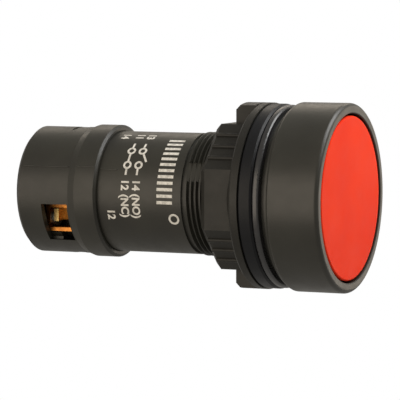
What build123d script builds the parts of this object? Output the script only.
"""One-piece 22 mm push button for a control panel: flush round head, threaded barrel,
ring nut and a clipped terminal housing with one opening and one closing contact.

Millimetres. The button's axis lies along Y and its face looks towards -Y. A station is a
distance along the axis, counted forward from the panel seat (the gasket's rear face), so
the origin is where the axis meets the front of the panel. +Z is up.
"""
import os
from math import cos, radians, sin

from build123d import *

# ---- clearances -------------------------------------------------------------------------
RUN = 0.05          # radial clearance of a guided shaft
SLIDE = 0.15        # clearance of a piece that slides over another
LOOSE = 0.3         # clearance between pieces that only pass each other
FIT = 0.05          # clearance of a fixed piece in its pocket
TOUCH = 0.02        # gap left between faces that meet at the end of a stroke

# ---- head -------------------------------------------------------------------------------
BEZEL_RADIUS = 15.0
BEZEL_DEPTH = 8.6
BEZEL_LIP = 2.3             # thickness of the lip round the button
BEZEL_EDGE = 0.7            # rounding of the bezel's front edge
BEZEL_REAR_EDGE = 0.5
BEZEL_SLOPE = 0.15          # break of the lip's inner edge
CAP_RADIUS = 13.0
CAP_THICKNESS = 2.0
CAP_RECESS = 0.1            # how far the cap lies behind the bezel's front edge
CAP_GAP = 0.4               # open ring between the cap and the lip
CAP_SKIRT = 1.5             # skirt below the cap's face plate
CAP_WALL = 1.1
CAP_EDGE = 0.3
CUP_WALL = 0.75
FLANGE_RADIUS = 14.4
FLANGE_THICKNESS = 1.3
FLANGE_RIM = 0.4            # full-width front part of the flange, under the bezel
FLANGE_WAIST_RADIUS = 13.4  # the rest of the flange, behind the rim
GASKET_RADIUS = 14.55
GASKET_THICKNESS = 1.2
GASKET_EDGE = 0.45
STROKE = 4.0                # travel of the button

# ---- barrel and thread ------------------------------------------------------------------
BARREL_RADIUS = 9.75
BARREL_BORE = 8.3
THREAD_CREST = 9.95
THREAD_DEPTH = 0.6
THREAD_PITCH = 0.8
THREAD_LENGTH = 14.0
THREAD_CREST_SHARE = 0.12   # width of a ridge's crest, in pitches
THREAD_ROOT_SHARE = 0.7     # width of a ridge's foot, in pitches
THREAD_GAP = 0.1            # radial clearance between the two threads
KEYWAY_WIDTH = 3.2
KEYWAY_ANGLE = 155.0        # seen from the front, counted from +X towards +Z
WEB_THICKNESS = 2.5
WEB_STEP = 0.2              # how far the web stands above the flange
BARREL_LENGTH = 33.5        # from the panel seat to the barrel's rear edge
SNAP_ARM_WIDTH = 5.0
SNAP_ARM_LENGTH = 2.9
SNAP_ARM_THICKNESS = 0.85
SNAP_HOOK = 0.5
SNAP_HOOK_LENGTH = 1.4

# ---- ring nut and lock washer -----------------------------------------------------------
WASHER_RADIUS = 14.7
WASHER_THICKNESS = 2.3
WASHER_EDGE = 0.3
NUT_FLANGE_RADIUS = 14.85
NUT_FLANGE_THICKNESS = 1.5
NUT_FLANGE_EDGE = 0.35
NUT_FLATS = 23.1            # across the flats of the octagonal hub
NUT_HUB_LENGTH = 6.2
NUT_HUB_EDGE = 0.9
NUT_COUNTERBORE = 1.3
NUT_RIB = 0.35              # height of the grip ribs on the slanting flats
NUT_RIB_SPACING = 2.4
WING_HALF_WIDTH = 3.2
WING_LENGTH = 3.4
WING_EDGE = 0.7
NUT_FLARE = 1.5

# ---- terminal housing -------------------------------------------------------------------
HOUSING_RADIUS = 10.3
HOUSING_REAR = -43.0
HOUSING_FLOOR = 1.2
HOUSING_WALL = 1.1
HOUSING_EDGE = 0.6
BAND_RADIUS = 10.75
BAND_FRONT = -28.6
BAND_LENGTH = 5.0
BAND_RAMP = 1.3             # length of the slope behind the band
SNAP_WINDOW_FRONT = -34.4
WINDOW_FRONT = -33.8
WINDOW_LENGTH = 4.6
WINDOW_LOW = 1.7            # distance of a wire window's inner edge from the middle plane
WINDOW_HEIGHT = 6.0
BLANK_SKIN = 0.35           # wall left over the window that is still closed
DRIVER_HOLE_RADIUS = 2.0

# ---- plunger and springs ----------------------------------------------------------------
PLATE_THICKNESS = 1.4
SHAFT_RADIUS = 5.0
SHAFT_BORE = 3.4
PLUNGER_REAR = -11.5
CLIP_RADIUS = 7.3
CLIP_THICKNESS = 0.8
SEAL_RADIUS = 7.5
SEAL_THICKNESS = 1.2
RETURN_WIRE = 0.35          # radius of the return spring's wire
RETURN_TURNS = 6
CONTACT_WIRE = 0.15
CONTACT_COIL = 0.7
CONTACT_TURNS = 5
CONTACT_SPRING_LENGTH = 4.0

# ---- contact block ----------------------------------------------------------------------
BLOCK_FRONT = -13.0
BLOCK_STEP = -36.6          # where the block widens from the barrel's bore to the housing's
CHAMBER_FRONT = -17.0
CHAMBER_REAR = -30.0
CHAMBER_HALF_WIDTH = 6.7
CHAMBER_HALF_HEIGHT = 5.0
CARRIER_THICKNESS = 2.8
CARRIER_HALF_HEIGHT = 5.9
CARRIER_HEAD = 1.0
CARRIER_SHOULDER = -14.0    # where the blade widens behind the return spring
CARRIER_REAR = -28.5
BRIDGE_LEVEL = 3.7          # height of each contact above or below the axis
BRIDGE_WIDTH = 2.0
BRIDGE_THICKNESS = 0.7
BRIDGE_HALF_LENGTH = 5.6
BRIDGE_TRAVEL = 2.4
TIP_RADIUS = 0.9
TIP_THICKNESS = 0.5
TIP_REACH = 4.6             # distance of the contact tips from the axis
STRIP_THICKNESS = 0.8
STRIP_WIDTH = 2.0
STRIP_INNER = 2.2           # where a terminal runs beside its clamp
STRIP_OUTER = 6.6
STRIP_JOG = -31.0
NC_CONTACT_FRONT = -20.0    # front face of the opening contact's fixed arms

# ---- screw clamps -----------------------------------------------------------------------
CLAMP_FLOOR = -37.0         # front face of the terminal inside the clamp
CAGE_LEVEL = 4.1
CAGE_HALF_WIDTH = 2.2
CAGE_INNER = 3.3
CAGE_WALL = 0.6
CAGE_REAR = -39.3
CAGE_FRONT = -34.0
CAGE_TRAVEL = 1.0
SCREW_RADIUS = 1.5
SCREW_HEAD_RADIUS = 2.3
SCREW_HEAD_THICKNESS = 1.0
SCREW_HEAD_REAR = -41.5
SCREW_SLOT = 0.7
SCREW_SLOT_DEPTH = 0.5

# ---- stations and radii that follow -----------------------------------------------------
flange_rear = GASKET_THICKNESS
flange_front = flange_rear + FLANGE_THICKNESS
floor_front = flange_front + WEB_STEP
web_rear = floor_front - WEB_THICKNESS
bezel_front = flange_front + BEZEL_DEPTH
cup_front = bezel_front - BEZEL_LIP - LOOSE
cup_inner = CAP_RADIUS + SLIDE
cup_outer = cup_inner + CUP_WALL
lip_inner = CAP_RADIUS + CAP_GAP
cap_front = bezel_front - CAP_RECESS
plate_front = cap_front - CAP_THICKNESS
thread_root = THREAD_CREST - THREAD_DEPTH
thread_rear = -THREAD_LENGTH
washer_rear = -WASHER_THICKNESS
nut_front = washer_rear - TOUCH
nut_flange_rear = nut_front - NUT_FLANGE_THICKNESS
nut_rear = nut_flange_rear - NUT_HUB_LENGTH
nut_bore = THREAD_CREST + THREAD_GAP
clip_front = web_rear - RUN
clip_rear = clip_front - CLIP_THICKNESS
band_rear = BAND_FRONT - BAND_LENGTH
floor_inside = HOUSING_REAR + HOUSING_FLOOR
housing_bore = BARREL_RADIUS + 2 * FIT
housing_rear_bore = HOUSING_RADIUS - HOUSING_WALL
arm_rear = -BARREL_LENGTH - SNAP_ARM_LENGTH
nc_tip_face = NC_CONTACT_FRONT - STRIP_THICKNESS - TIP_THICKNESS
nc_bridge_front = nc_tip_face - TIP_THICKNESS - TOUCH
no_bridge_rear = nc_bridge_front - BRIDGE_THICKNESS
no_contact_front = no_bridge_rear - 2 * TIP_THICKNESS - BRIDGE_TRAVEL - TOUCH
bridge_slack = STROKE - BRIDGE_TRAVEL + TOUCH
screw_reach = (CAGE_INNER + STRIP_OUTER) / 2


def across(station):
    """The plane square to the axis at a station, drawn as seen from the front."""
    return Plane.XZ.offset(station)


def profile_plane():
    """The half plane for turned profiles: radius to the right, station upwards."""
    return Plane(origin=(0, 0, 0), x_dir=(1, 0, 0), z_dir=(0, 0, -1))


def disc(radius, rear, front, x=0.0, z=0.0, mode=Mode.ADD):
    """A round slab between two stations."""
    with BuildSketch(across(rear)) as section:
        with Locations((x, z)):
            Circle(radius)
    extrude(section.sketch, amount=front - rear, mode=mode)


def slab(x_range, z_range, rear, front, mode=Mode.ADD):
    """A rectangular slab between two stations, given by its sides."""
    left, right = sorted(x_range)
    low, high = sorted(z_range)
    with BuildSketch(across(rear)) as section:
        with Locations(((left + right) / 2, (low + high) / 2)):
            Rectangle(right - left, high - low)
    extrude(section.sketch, amount=front - rear, mode=mode)


def turned(points, mode=Mode.ADD):
    """A solid turned about the axis from a list of (radius, station) corners."""
    with BuildSketch(profile_plane()) as section:
        with BuildLine():
            Polyline(*points, close=True)
        make_face()
    revolve(section.sketch, axis=Axis.Y, mode=mode)


def helix_ridge(radius, height, start, length, foot, crest):
    """A thread ridge that stands height out of radius (inwards when it is negative)."""
    with BuildPart(mode=Mode.PRIVATE) as ridge:
        with BuildLine() as path:
            Helix(THREAD_PITCH, length, radius, center=(0, -start, 0), direction=(0, -1, 0))
        origin = path.line @ 0
        outward = Vector(origin.X, 0, origin.Z)
        with BuildSketch(Plane(origin=origin, x_dir=outward, z_dir=path.line % 0)) as section:
            with BuildLine():
                Polyline(
                    (0, -foot / 2),
                    (height, -crest / 2),
                    (height, crest / 2),
                    (0, foot / 2),
                    close=True,
                )
            make_face()
        sweep(section.sketch, path=path.line, is_frenet=True)
    return ridge.part


def coil(wire, radius, rear, front, turns, level=0.0):
    """A compression spring whose wire just reaches both stations."""
    length = front - rear - 2 * wire
    with BuildPart(mode=Mode.PRIVATE) as spring:
        with BuildLine() as path:
            Helix(
                length / turns,
                length,
                radius,
                center=(0, -(rear + wire), level),
                direction=(0, -1, 0),
            )
        with BuildSketch(Plane(origin=path.line @ 0, z_dir=path.line % 0)) as section:
            Circle(wire)
        sweep(section.sketch, path=path.line, is_frenet=True)
    return spring.part


def edges_at(part, station, radius):
    """The circular edges of one radius at one station."""
    return [
        edge
        for edge in part.edges().filter_by(GeomType.CIRCLE)
        if abs(edge.center().Y + station) < TOUCH and abs(edge.radius - radius) < TOUCH
    ]


os.makedirs("parts", exist_ok=True)


def save(builder, name):
    """Name the finished piece and write it."""
    builder.part.label = name
    export_step(builder.part, f"parts/{name}.step")


# ---- barrel: threaded tube, flange, cup for the button and two snap arms -----------------
with BuildPart() as barrel:
    disc(BARREL_RADIUS, -BARREL_LENGTH, thread_rear)
    disc(thread_root, thread_rear, 0)
    add(
        helix_ridge(
            thread_root - FIT,
            THREAD_DEPTH + FIT,
            thread_rear + THREAD_PITCH / 2,
            THREAD_LENGTH - THREAD_PITCH,
            THREAD_ROOT_SHARE * THREAD_PITCH,
            THREAD_CREST_SHARE * THREAD_PITCH,
        )
    )
    with BuildSketch(across(thread_rear)) as keyway:
        with PolarLocations(THREAD_CREST, 1, start_angle=KEYWAY_ANGLE):
            Rectangle(2 * THREAD_DEPTH, KEYWAY_WIDTH)
        Circle(thread_root, mode=Mode.SUBTRACT)
    extrude(amount=THREAD_LENGTH, mode=Mode.SUBTRACT)
    disc(THREAD_CREST, 0, flange_rear)
    disc(FLANGE_WAIST_RADIUS, flange_rear, flange_front)
    disc(FLANGE_RADIUS, flange_front - FLANGE_RIM, flange_front)
    disc(cup_outer, flange_front, cup_front)
    disc(cup_inner, floor_front, cup_front, mode=Mode.SUBTRACT)
    disc(BARREL_BORE, -BARREL_LENGTH, web_rear, mode=Mode.SUBTRACT)
    disc(SHAFT_RADIUS + RUN, web_rear, floor_front, mode=Mode.SUBTRACT)
    disc(SEAL_RADIUS, floor_front - SEAL_THICKNESS, floor_front, mode=Mode.SUBTRACT)
    arm_outer = BARREL_RADIUS
    arm_inner = BARREL_RADIUS - SNAP_ARM_THICKNESS
    with BuildSketch(across(arm_rear)) as arms:
        Circle(arm_outer)
        Circle(arm_inner, mode=Mode.SUBTRACT)
        Rectangle(SNAP_ARM_WIDTH, 2 * BARREL_RADIUS, mode=Mode.INTERSECT)
    extrude(amount=SNAP_ARM_LENGTH)
    hook_front = SNAP_WINDOW_FRONT - SLIDE
    with BuildSketch(across(hook_front - SNAP_HOOK_LENGTH)) as hooks:
        Circle(arm_outer + SNAP_HOOK)
        Circle(arm_inner, mode=Mode.SUBTRACT)
        Rectangle(SNAP_ARM_WIDTH, 3 * BARREL_RADIUS, mode=Mode.INTERSECT)
    extrude(amount=SNAP_HOOK_LENGTH)
save(barrel, "barrel")

# ---- bezel ring: snaps over the barrel's cup ---------------------------------------------
with BuildPart() as bezel_ring:
    turned(
        [
            (cup_outer + FIT, flange_front),
            (BEZEL_RADIUS, flange_front),
            (BEZEL_RADIUS, bezel_front),
            (lip_inner + BEZEL_SLOPE, bezel_front),
            (lip_inner, cap_front),
            (lip_inner, bezel_front - BEZEL_LIP),
            (cup_outer + FIT, bezel_front - BEZEL_LIP),
        ]
    )
    fillet(edges_at(bezel_ring.part, bezel_front, BEZEL_RADIUS), BEZEL_EDGE)
    fillet(edges_at(bezel_ring.part, flange_front, BEZEL_RADIUS), BEZEL_REAR_EDGE)
save(bezel_ring, "bezel_ring")

# ---- button cap: red face plate with a short skirt ---------------------------------------
with BuildPart() as button_cap:
    disc(CAP_RADIUS, plate_front - CAP_SKIRT, cap_front)
    disc(CAP_RADIUS - CAP_WALL, plate_front - CAP_SKIRT, plate_front, mode=Mode.SUBTRACT)
    fillet(edges_at(button_cap.part, cap_front, CAP_RADIUS), CAP_EDGE)
save(button_cap, "button_cap")

# ---- plunger: plate under the cap and a guided hollow shaft ------------------------------
with BuildPart() as plunger:
    disc(CAP_RADIUS - CAP_WALL - FIT, plate_front - PLATE_THICKNESS, plate_front)
    disc(SHAFT_RADIUS, PLUNGER_REAR, plate_front)
    disc(SHAFT_BORE, PLUNGER_REAR, floor_front, mode=Mode.SUBTRACT)
save(plunger, "plunger")

# ---- retaining clip: stops the plunger under the barrel's web ----------------------------
with BuildPart() as retaining_clip:
    disc(CLIP_RADIUS, clip_rear, clip_front)
    disc(SHAFT_RADIUS, clip_rear, clip_front, mode=Mode.SUBTRACT)
    slab((0, CLIP_RADIUS), (-SHAFT_BORE, SHAFT_BORE), clip_rear, clip_front, mode=Mode.SUBTRACT)
save(retaining_clip, "retaining_clip")

# ---- plunger seal: wiper ring in the floor of the cup ------------------------------------
with BuildPart() as plunger_seal:
    disc(SEAL_RADIUS - FIT, floor_front - SEAL_THICKNESS, floor_front - FIT)
    disc(SHAFT_RADIUS + RUN, floor_front - SEAL_THICKNESS, floor_front, mode=Mode.SUBTRACT)
save(plunger_seal, "plunger_seal")

# ---- panel gasket: rubber ring behind the flange -----------------------------------------
with BuildPart() as panel_gasket:
    disc(GASKET_RADIUS, 0, flange_rear)
    fillet(edges_at(panel_gasket.part, 0, GASKET_RADIUS), GASKET_EDGE)
    fillet(edges_at(panel_gasket.part, flange_rear, GASKET_RADIUS), GASKET_EDGE)
    disc(THREAD_CREST + FIT, 0, flange_rear, mode=Mode.SUBTRACT)
save(panel_gasket, "panel_gasket")

# ---- lock washer: keyed to the barrel, slides with the nut -------------------------------
with BuildPart() as lock_washer:
    disc(WASHER_RADIUS, washer_rear, -TOUCH)
    chamfer(edges_at(lock_washer.part, washer_rear, WASHER_RADIUS), WASHER_EDGE)
    chamfer(edges_at(lock_washer.part, -TOUCH, WASHER_RADIUS), WASHER_EDGE)
    disc(THREAD_CREST + SLIDE, washer_rear, -TOUCH, mode=Mode.SUBTRACT)
    key_inner = thread_root + SLIDE
    key_outer = THREAD_CREST + SLIDE + FIT
    with BuildSketch(across(washer_rear)) as key:
        with PolarLocations((key_inner + key_outer) / 2, 1, start_angle=KEYWAY_ANGLE):
            Rectangle(key_outer - key_inner, KEYWAY_WIDTH - 4 * SLIDE)
        Circle(key_inner, mode=Mode.SUBTRACT)
    extrude(amount=WASHER_THICKNESS - TOUCH)
save(lock_washer, "lock_washer")

# ---- ring nut: flange, octagonal hub, two wings and a thread -----------------------------
with BuildPart() as ring_nut:
    disc(NUT_FLANGE_RADIUS, nut_flange_rear, nut_front)
    chamfer(edges_at(ring_nut.part, nut_flange_rear, NUT_FLANGE_RADIUS), NUT_FLANGE_EDGE)
    with BuildSketch(across(nut_rear)) as hub:
        RegularPolygon(NUT_FLATS / 2, 8, major_radius=False, rotation=180 / 8)
    extrude(amount=NUT_HUB_LENGTH)
    chamfer(ring_nut.faces().sort_by(Axis.Y)[-1].edges(), NUT_HUB_EDGE)
    flare_foot = NUT_FLATS / 2 + NUT_FLARE
    turned(
        [
            (nut_bore, nut_flange_rear),
            (flare_foot, nut_flange_rear),
            (NUT_FLATS / 2, nut_flange_rear - NUT_FLARE),
            (nut_bore, nut_flange_rear - NUT_FLARE),
        ]
    )
    for diagonal in (45, 135, 225, 315):
        for step in (-1, 0, 1):
            flat = Plane(
                origin=(
                    NUT_FLATS / 2 * cos(radians(diagonal)),
                    -nut_rear - NUT_HUB_EDGE,
                    NUT_FLATS / 2 * sin(radians(diagonal)),
                ),
                x_dir=(-sin(radians(diagonal)), 0, cos(radians(diagonal))),
                z_dir=(0, -1, 0),
            )
            with BuildSketch(flat) as rib:
                with Locations((step * NUT_RIB_SPACING, 0)):
                    Circle(NUT_RIB)
            extrude(amount=NUT_HUB_LENGTH - NUT_HUB_EDGE - NUT_FLARE / 2)
    wing_rear = nut_flange_rear - WING_LENGTH
    with BuildSketch(across(wing_rear)) as wings:
        Circle(NUT_FLANGE_RADIUS)
        Rectangle(2 * WING_HALF_WIDTH, 2 * NUT_FLANGE_RADIUS, mode=Mode.INTERSECT)
        Circle(nut_bore, mode=Mode.SUBTRACT)
    extrude(amount=WING_LENGTH)
    wing_edges = [
        edge
        for edge in ring_nut.edges().filter_by(GeomType.CIRCLE)
        if abs(edge.center().Y + wing_rear) < TOUCH and edge.radius > NUT_FLANGE_RADIUS - TOUCH
    ]
    chamfer(wing_edges, WING_EDGE)
    disc(nut_bore, nut_rear, nut_front, mode=Mode.SUBTRACT)
    add(
        helix_ridge(
            nut_bore + FIT,
            -(THREAD_DEPTH + FIT),
            thread_rear + THREAD_PITCH * 6,
            THREAD_PITCH * 4,
            THREAD_ROOT_SHARE * THREAD_PITCH,
            THREAD_CREST_SHARE * THREAD_PITCH,
        )
    )
save(ring_nut, "ring_nut")


# ---- terminal housing: rear cup, snapped over the barrel's arms --------------------------
def wire_window(side, level, mode, depth):
    """The cut for a wire window on one side, from the outside in by depth."""
    low = WINDOW_LOW * level
    high = (WINDOW_LOW + WINDOW_HEIGHT) * level
    outside = side * (BAND_RADIUS + LOOSE)
    inside = side * (BAND_RADIUS + LOOSE - depth)
    slab((inside, outside), (low, high), WINDOW_FRONT - WINDOW_LENGTH, WINDOW_FRONT, mode)


with BuildPart() as terminal_housing:
    turned(
        [
            (0, HOUSING_REAR),
            (HOUSING_RADIUS - HOUSING_EDGE, HOUSING_REAR),
            (HOUSING_RADIUS, HOUSING_REAR + HOUSING_EDGE),
            (HOUSING_RADIUS, band_rear),
            (BAND_RADIUS, band_rear + BAND_RAMP),
            (BAND_RADIUS, BAND_FRONT - LOOSE),
            (HOUSING_RADIUS, BAND_FRONT),
            (0, BAND_FRONT),
        ]
    )
    disc(housing_bore, BLOCK_STEP, BAND_FRONT, mode=Mode.SUBTRACT)
    disc(housing_rear_bore, floor_inside, BLOCK_STEP, mode=Mode.SUBTRACT)
    with BuildSketch(across(arm_rear - FIT)) as snap_windows:
        Rectangle(SNAP_ARM_WIDTH + 2 * SLIDE, 3 * BAND_RADIUS)
    extrude(amount=SNAP_WINDOW_FRONT - arm_rear + FIT, mode=Mode.SUBTRACT)
    for side, level in ((-1, -1), (1, -1), (1, 1)):
        wire_window(side, level, Mode.SUBTRACT, BAND_RADIUS / 2)
    with BuildSketch(across(floor_inside)) as driver_holes:
        with GridLocations(2 * screw_reach, 2 * CAGE_LEVEL, 2, 2):
            Circle(DRIVER_HOLE_RADIUS)
    extrude(amount=-HOUSING_FLOOR, mode=Mode.SUBTRACT)
    with BuildPart(mode=Mode.PRIVATE) as blank_hollow:
        wire_window(-1, 1, Mode.ADD, BAND_RADIUS / 2)
        disc(HOUSING_RADIUS - BLANK_SKIN, HOUSING_REAR, BAND_FRONT, mode=Mode.INTERSECT)
    add(blank_hollow.part, mode=Mode.SUBTRACT)
save(terminal_housing, "terminal_housing")


# ---- terminals: one strip from the clamp to the fixed contact ----------------------------
def terminal_strip(side, level, contact_front, grow=0.0, mode=Mode.ADD):
    """The five straight runs of a terminal, or its pocket when it is grown."""
    z_range = (
        level * BRIDGE_LEVEL - STRIP_WIDTH / 2 - grow,
        level * BRIDGE_LEVEL + STRIP_WIDTH / 2 + grow,
    )
    inner = (side * (STRIP_INNER - grow), side * (STRIP_INNER + STRIP_THICKNESS + grow))
    outer = (side * (STRIP_OUTER - STRIP_THICKNESS - grow), side * (STRIP_OUTER + grow))
    whole = (inner[0], outer[1])
    contact = (side * (TIP_REACH - TIP_RADIUS), outer[1])
    clamp_rear = CLAMP_FLOOR - STRIP_THICKNESS
    jog_rear = STRIP_JOG - STRIP_THICKNESS
    contact_rear = contact_front - STRIP_THICKNESS
    slab(whole, z_range, clamp_rear - grow, CLAMP_FLOOR + grow, mode)
    slab(inner, z_range, clamp_rear - grow, STRIP_JOG + grow, mode)
    slab(whole, z_range, jog_rear - grow, STRIP_JOG + grow, mode)
    slab(outer, z_range, jog_rear - grow, contact_front + grow, mode)
    slab(contact, z_range, contact_rear - grow, contact_front + grow, mode)


TERMINALS = {
    "11": (1, -1, NC_CONTACT_FRONT),
    "12": (-1, -1, NC_CONTACT_FRONT),
    "13": (1, 1, no_contact_front),
    "14": (-1, 1, no_contact_front),
}
for number, (side, level, contact_front) in TERMINALS.items():
    with BuildPart() as terminal:
        terminal_strip(side, level, contact_front)
    save(terminal, f"terminal_{number}")

# ---- silver tips, riveted to the fixed arms ----------------------------------------------
with BuildPart() as fixed_tips:
    for side in (-1, 1):
        nc_arm_rear = NC_CONTACT_FRONT - STRIP_THICKNESS
        disc(TIP_RADIUS, nc_tip_face, nc_arm_rear, side * TIP_REACH, -BRIDGE_LEVEL)
        no_tip_front = no_contact_front + TIP_THICKNESS
        disc(TIP_RADIUS, no_contact_front, no_tip_front, side * TIP_REACH, BRIDGE_LEVEL)
save(fixed_tips, "fixed_tips")


# ---- moving bridges ----------------------------------------------------------------------
def bridge_bar(level):
    """The bar of a bridge above or below the axis."""
    z_range = (
        level * BRIDGE_LEVEL - BRIDGE_WIDTH / 2,
        level * BRIDGE_LEVEL + BRIDGE_WIDTH / 2,
    )
    slab((-BRIDGE_HALF_LENGTH, BRIDGE_HALF_LENGTH), z_range, no_bridge_rear, nc_bridge_front)


def bridge_tips(level, rear):
    """The two silver tips of a bridge, from their rear station."""
    for side in (-1, 1):
        disc(TIP_RADIUS, rear, rear + TIP_THICKNESS, side * TIP_REACH, level * BRIDGE_LEVEL)


with BuildPart() as nc_bridge:
    bridge_bar(-1)
save(nc_bridge, "nc_bridge")

with BuildPart() as nc_bridge_tips:
    bridge_tips(-1, nc_bridge_front)
save(nc_bridge_tips, "nc_bridge_tips")

with BuildPart() as no_bridge:
    bridge_bar(1)
save(no_bridge, "no_bridge")

with BuildPart() as no_bridge_tips:
    bridge_tips(1, no_bridge_rear - TIP_THICKNESS)
save(no_bridge_tips, "no_bridge_tips")

# ---- contact carrier: the blade that holds both bridges ----------------------------------
nc_window_front = nc_bridge_front + bridge_slack
nc_window_rear = no_bridge_rear - CONTACT_SPRING_LENGTH
no_window_front = nc_bridge_front + CONTACT_SPRING_LENGTH
no_window_rear = no_bridge_rear - TOUCH
carrier_sides = (-CARRIER_THICKNESS / 2, CARRIER_THICKNESS / 2)
window_low = BRIDGE_LEVEL - BRIDGE_WIDTH / 2 - SLIDE
window_high = BRIDGE_LEVEL + BRIDGE_WIDTH / 2 + SLIDE
with BuildPart() as contact_carrier:
    disc(SHAFT_RADIUS, PLUNGER_REAR - CARRIER_HEAD, PLUNGER_REAR)
    carrier_heights = (-CARRIER_HALF_HEIGHT, CARRIER_HALF_HEIGHT)
    neck_heights = (-SHAFT_BORE, SHAFT_BORE)
    slab(carrier_sides, carrier_heights, CARRIER_REAR, CARRIER_SHOULDER)
    slab(carrier_sides, neck_heights, CARRIER_SHOULDER, PLUNGER_REAR - CARRIER_HEAD / 2)
    slab(carrier_sides, (-window_high, -window_low), nc_window_rear, nc_window_front, Mode.SUBTRACT)
    slab(carrier_sides, (window_low, window_high), no_window_rear, no_window_front, Mode.SUBTRACT)
save(contact_carrier, "contact_carrier")

# ---- springs -----------------------------------------------------------------------------
return_coil = (SHAFT_RADIUS + CLIP_RADIUS) / 2
return_rear = BLOCK_FRONT + TOUCH
return_spring = Compound(
    [coil(RETURN_WIRE, return_coil, return_rear, clip_rear - TOUCH, RETURN_TURNS)]
)
return_spring.label = "return_spring"
export_step(return_spring, "parts/return_spring.step")

nc_spring = coil(
    CONTACT_WIRE,
    CONTACT_COIL,
    nc_window_rear + TOUCH,
    no_bridge_rear - TOUCH,
    CONTACT_TURNS,
    -BRIDGE_LEVEL,
)
nc_spring.label = "nc_contact_spring"
export_step(nc_spring, "parts/nc_contact_spring.step")

no_spring = coil(
    CONTACT_WIRE,
    CONTACT_COIL,
    nc_bridge_front + TOUCH,
    no_window_front - TOUCH,
    CONTACT_TURNS,
    BRIDGE_LEVEL,
)
no_spring.label = "no_contact_spring"
export_step(no_spring, "parts/no_contact_spring.step")

# ---- contact block: insulating body with the chambers and pockets ------------------------
pocket_sides = (CAGE_LEVEL - CAGE_HALF_WIDTH - SLIDE, CAGE_LEVEL + CAGE_HALF_WIDTH + SLIDE)
with BuildPart() as contact_block:
    disc(BARREL_BORE - 2 * FIT, floor_inside, BLOCK_FRONT)
    disc(housing_rear_bore - 2 * FIT, floor_inside, BLOCK_STEP - FIT)
    disc(SHAFT_RADIUS + LOOSE, CHAMBER_FRONT, BLOCK_FRONT, mode=Mode.SUBTRACT)
    chamber_x = (-CHAMBER_HALF_WIDTH, CHAMBER_HALF_WIDTH)
    chamber_z = (-CHAMBER_HALF_HEIGHT, CHAMBER_HALF_HEIGHT)
    slab(chamber_x, chamber_z, CHAMBER_REAR, CHAMBER_FRONT, Mode.SUBTRACT)
    slot_x = (-CARRIER_THICKNESS / 2 - SLIDE, CARRIER_THICKNESS / 2 + SLIDE)
    slot_z = (-CARRIER_HALF_HEIGHT - SLIDE, CARRIER_HALF_HEIGHT + SLIDE)
    slab(slot_x, slot_z, CARRIER_REAR - STROKE - LOOSE, BLOCK_FRONT, Mode.SUBTRACT)
    for side, level, contact_front in TERMINALS.values():
        terminal_strip(side, level, contact_front, FIT, Mode.SUBTRACT)
        pocket_x = (side * (STRIP_INNER - FIT), side * HOUSING_RADIUS)
        pocket_z = (level * pocket_sides[0], level * pocket_sides[1])
        slab(pocket_x, pocket_z, floor_inside, CAGE_FRONT + LOOSE, Mode.SUBTRACT)
save(contact_block, "contact_block")

# ---- screw clamps: a cage and its screw at each terminal ---------------------------------
for number, (side, level, contact_front) in TERMINALS.items():
    clamp_x = side * screw_reach
    clamp_z = level * CAGE_LEVEL
    cage_x = (side * CAGE_INNER, side * STRIP_OUTER)
    outer_z = (clamp_z - CAGE_HALF_WIDTH, clamp_z + CAGE_HALF_WIDTH)
    inner_z = (outer_z[0] + CAGE_WALL, outer_z[1] - CAGE_WALL)
    with BuildPart() as clamp_cage:
        slab(cage_x, outer_z, CAGE_REAR, CAGE_FRONT)
        slab(cage_x, inner_z, CAGE_REAR + STRIP_THICKNESS, CAGE_FRONT - CAGE_WALL, Mode.SUBTRACT)
        disc(
            SCREW_RADIUS + RUN,
            CAGE_REAR,
            CAGE_REAR + STRIP_THICKNESS,
            clamp_x,
            clamp_z,
            Mode.SUBTRACT,
        )
        fillet(clamp_cage.edges().filter_by(Axis.X).sort_by(Axis.Z)[:2], CAGE_WALL / 2)
        fillet(clamp_cage.edges().filter_by(Axis.X).sort_by(Axis.Z)[-2:], CAGE_WALL / 2)
    save(clamp_cage, f"clamp_cage_{number}")

    head_front = SCREW_HEAD_REAR + SCREW_HEAD_THICKNESS
    with BuildPart() as terminal_screw:
        disc(SCREW_HEAD_RADIUS, SCREW_HEAD_REAR, head_front, clamp_x, clamp_z)
        chamfer(terminal_screw.faces().sort_by(Axis.Y)[-1].edges(), SCREW_SLOT / 3)
        shank_front = CLAMP_FLOOR - STRIP_THICKNESS - TOUCH
        disc(SCREW_RADIUS, head_front, shank_front, clamp_x, clamp_z)
        slot_front = SCREW_HEAD_REAR + SCREW_SLOT_DEPTH
        bar = (clamp_x - SCREW_HEAD_RADIUS, clamp_x + SCREW_HEAD_RADIUS)
        post = (clamp_z - SCREW_HEAD_RADIUS, clamp_z + SCREW_HEAD_RADIUS)
        narrow_x = (clamp_x - SCREW_SLOT / 2, clamp_x + SCREW_SLOT / 2)
        narrow_z = (clamp_z - SCREW_SLOT / 2, clamp_z + SCREW_SLOT / 2)
        slab(bar, narrow_z, SCREW_HEAD_REAR, slot_front, Mode.SUBTRACT)
        slab(narrow_x, post, SCREW_HEAD_REAR, slot_front, Mode.SUBTRACT)
    save(terminal_screw, f"terminal_screw_{number}")
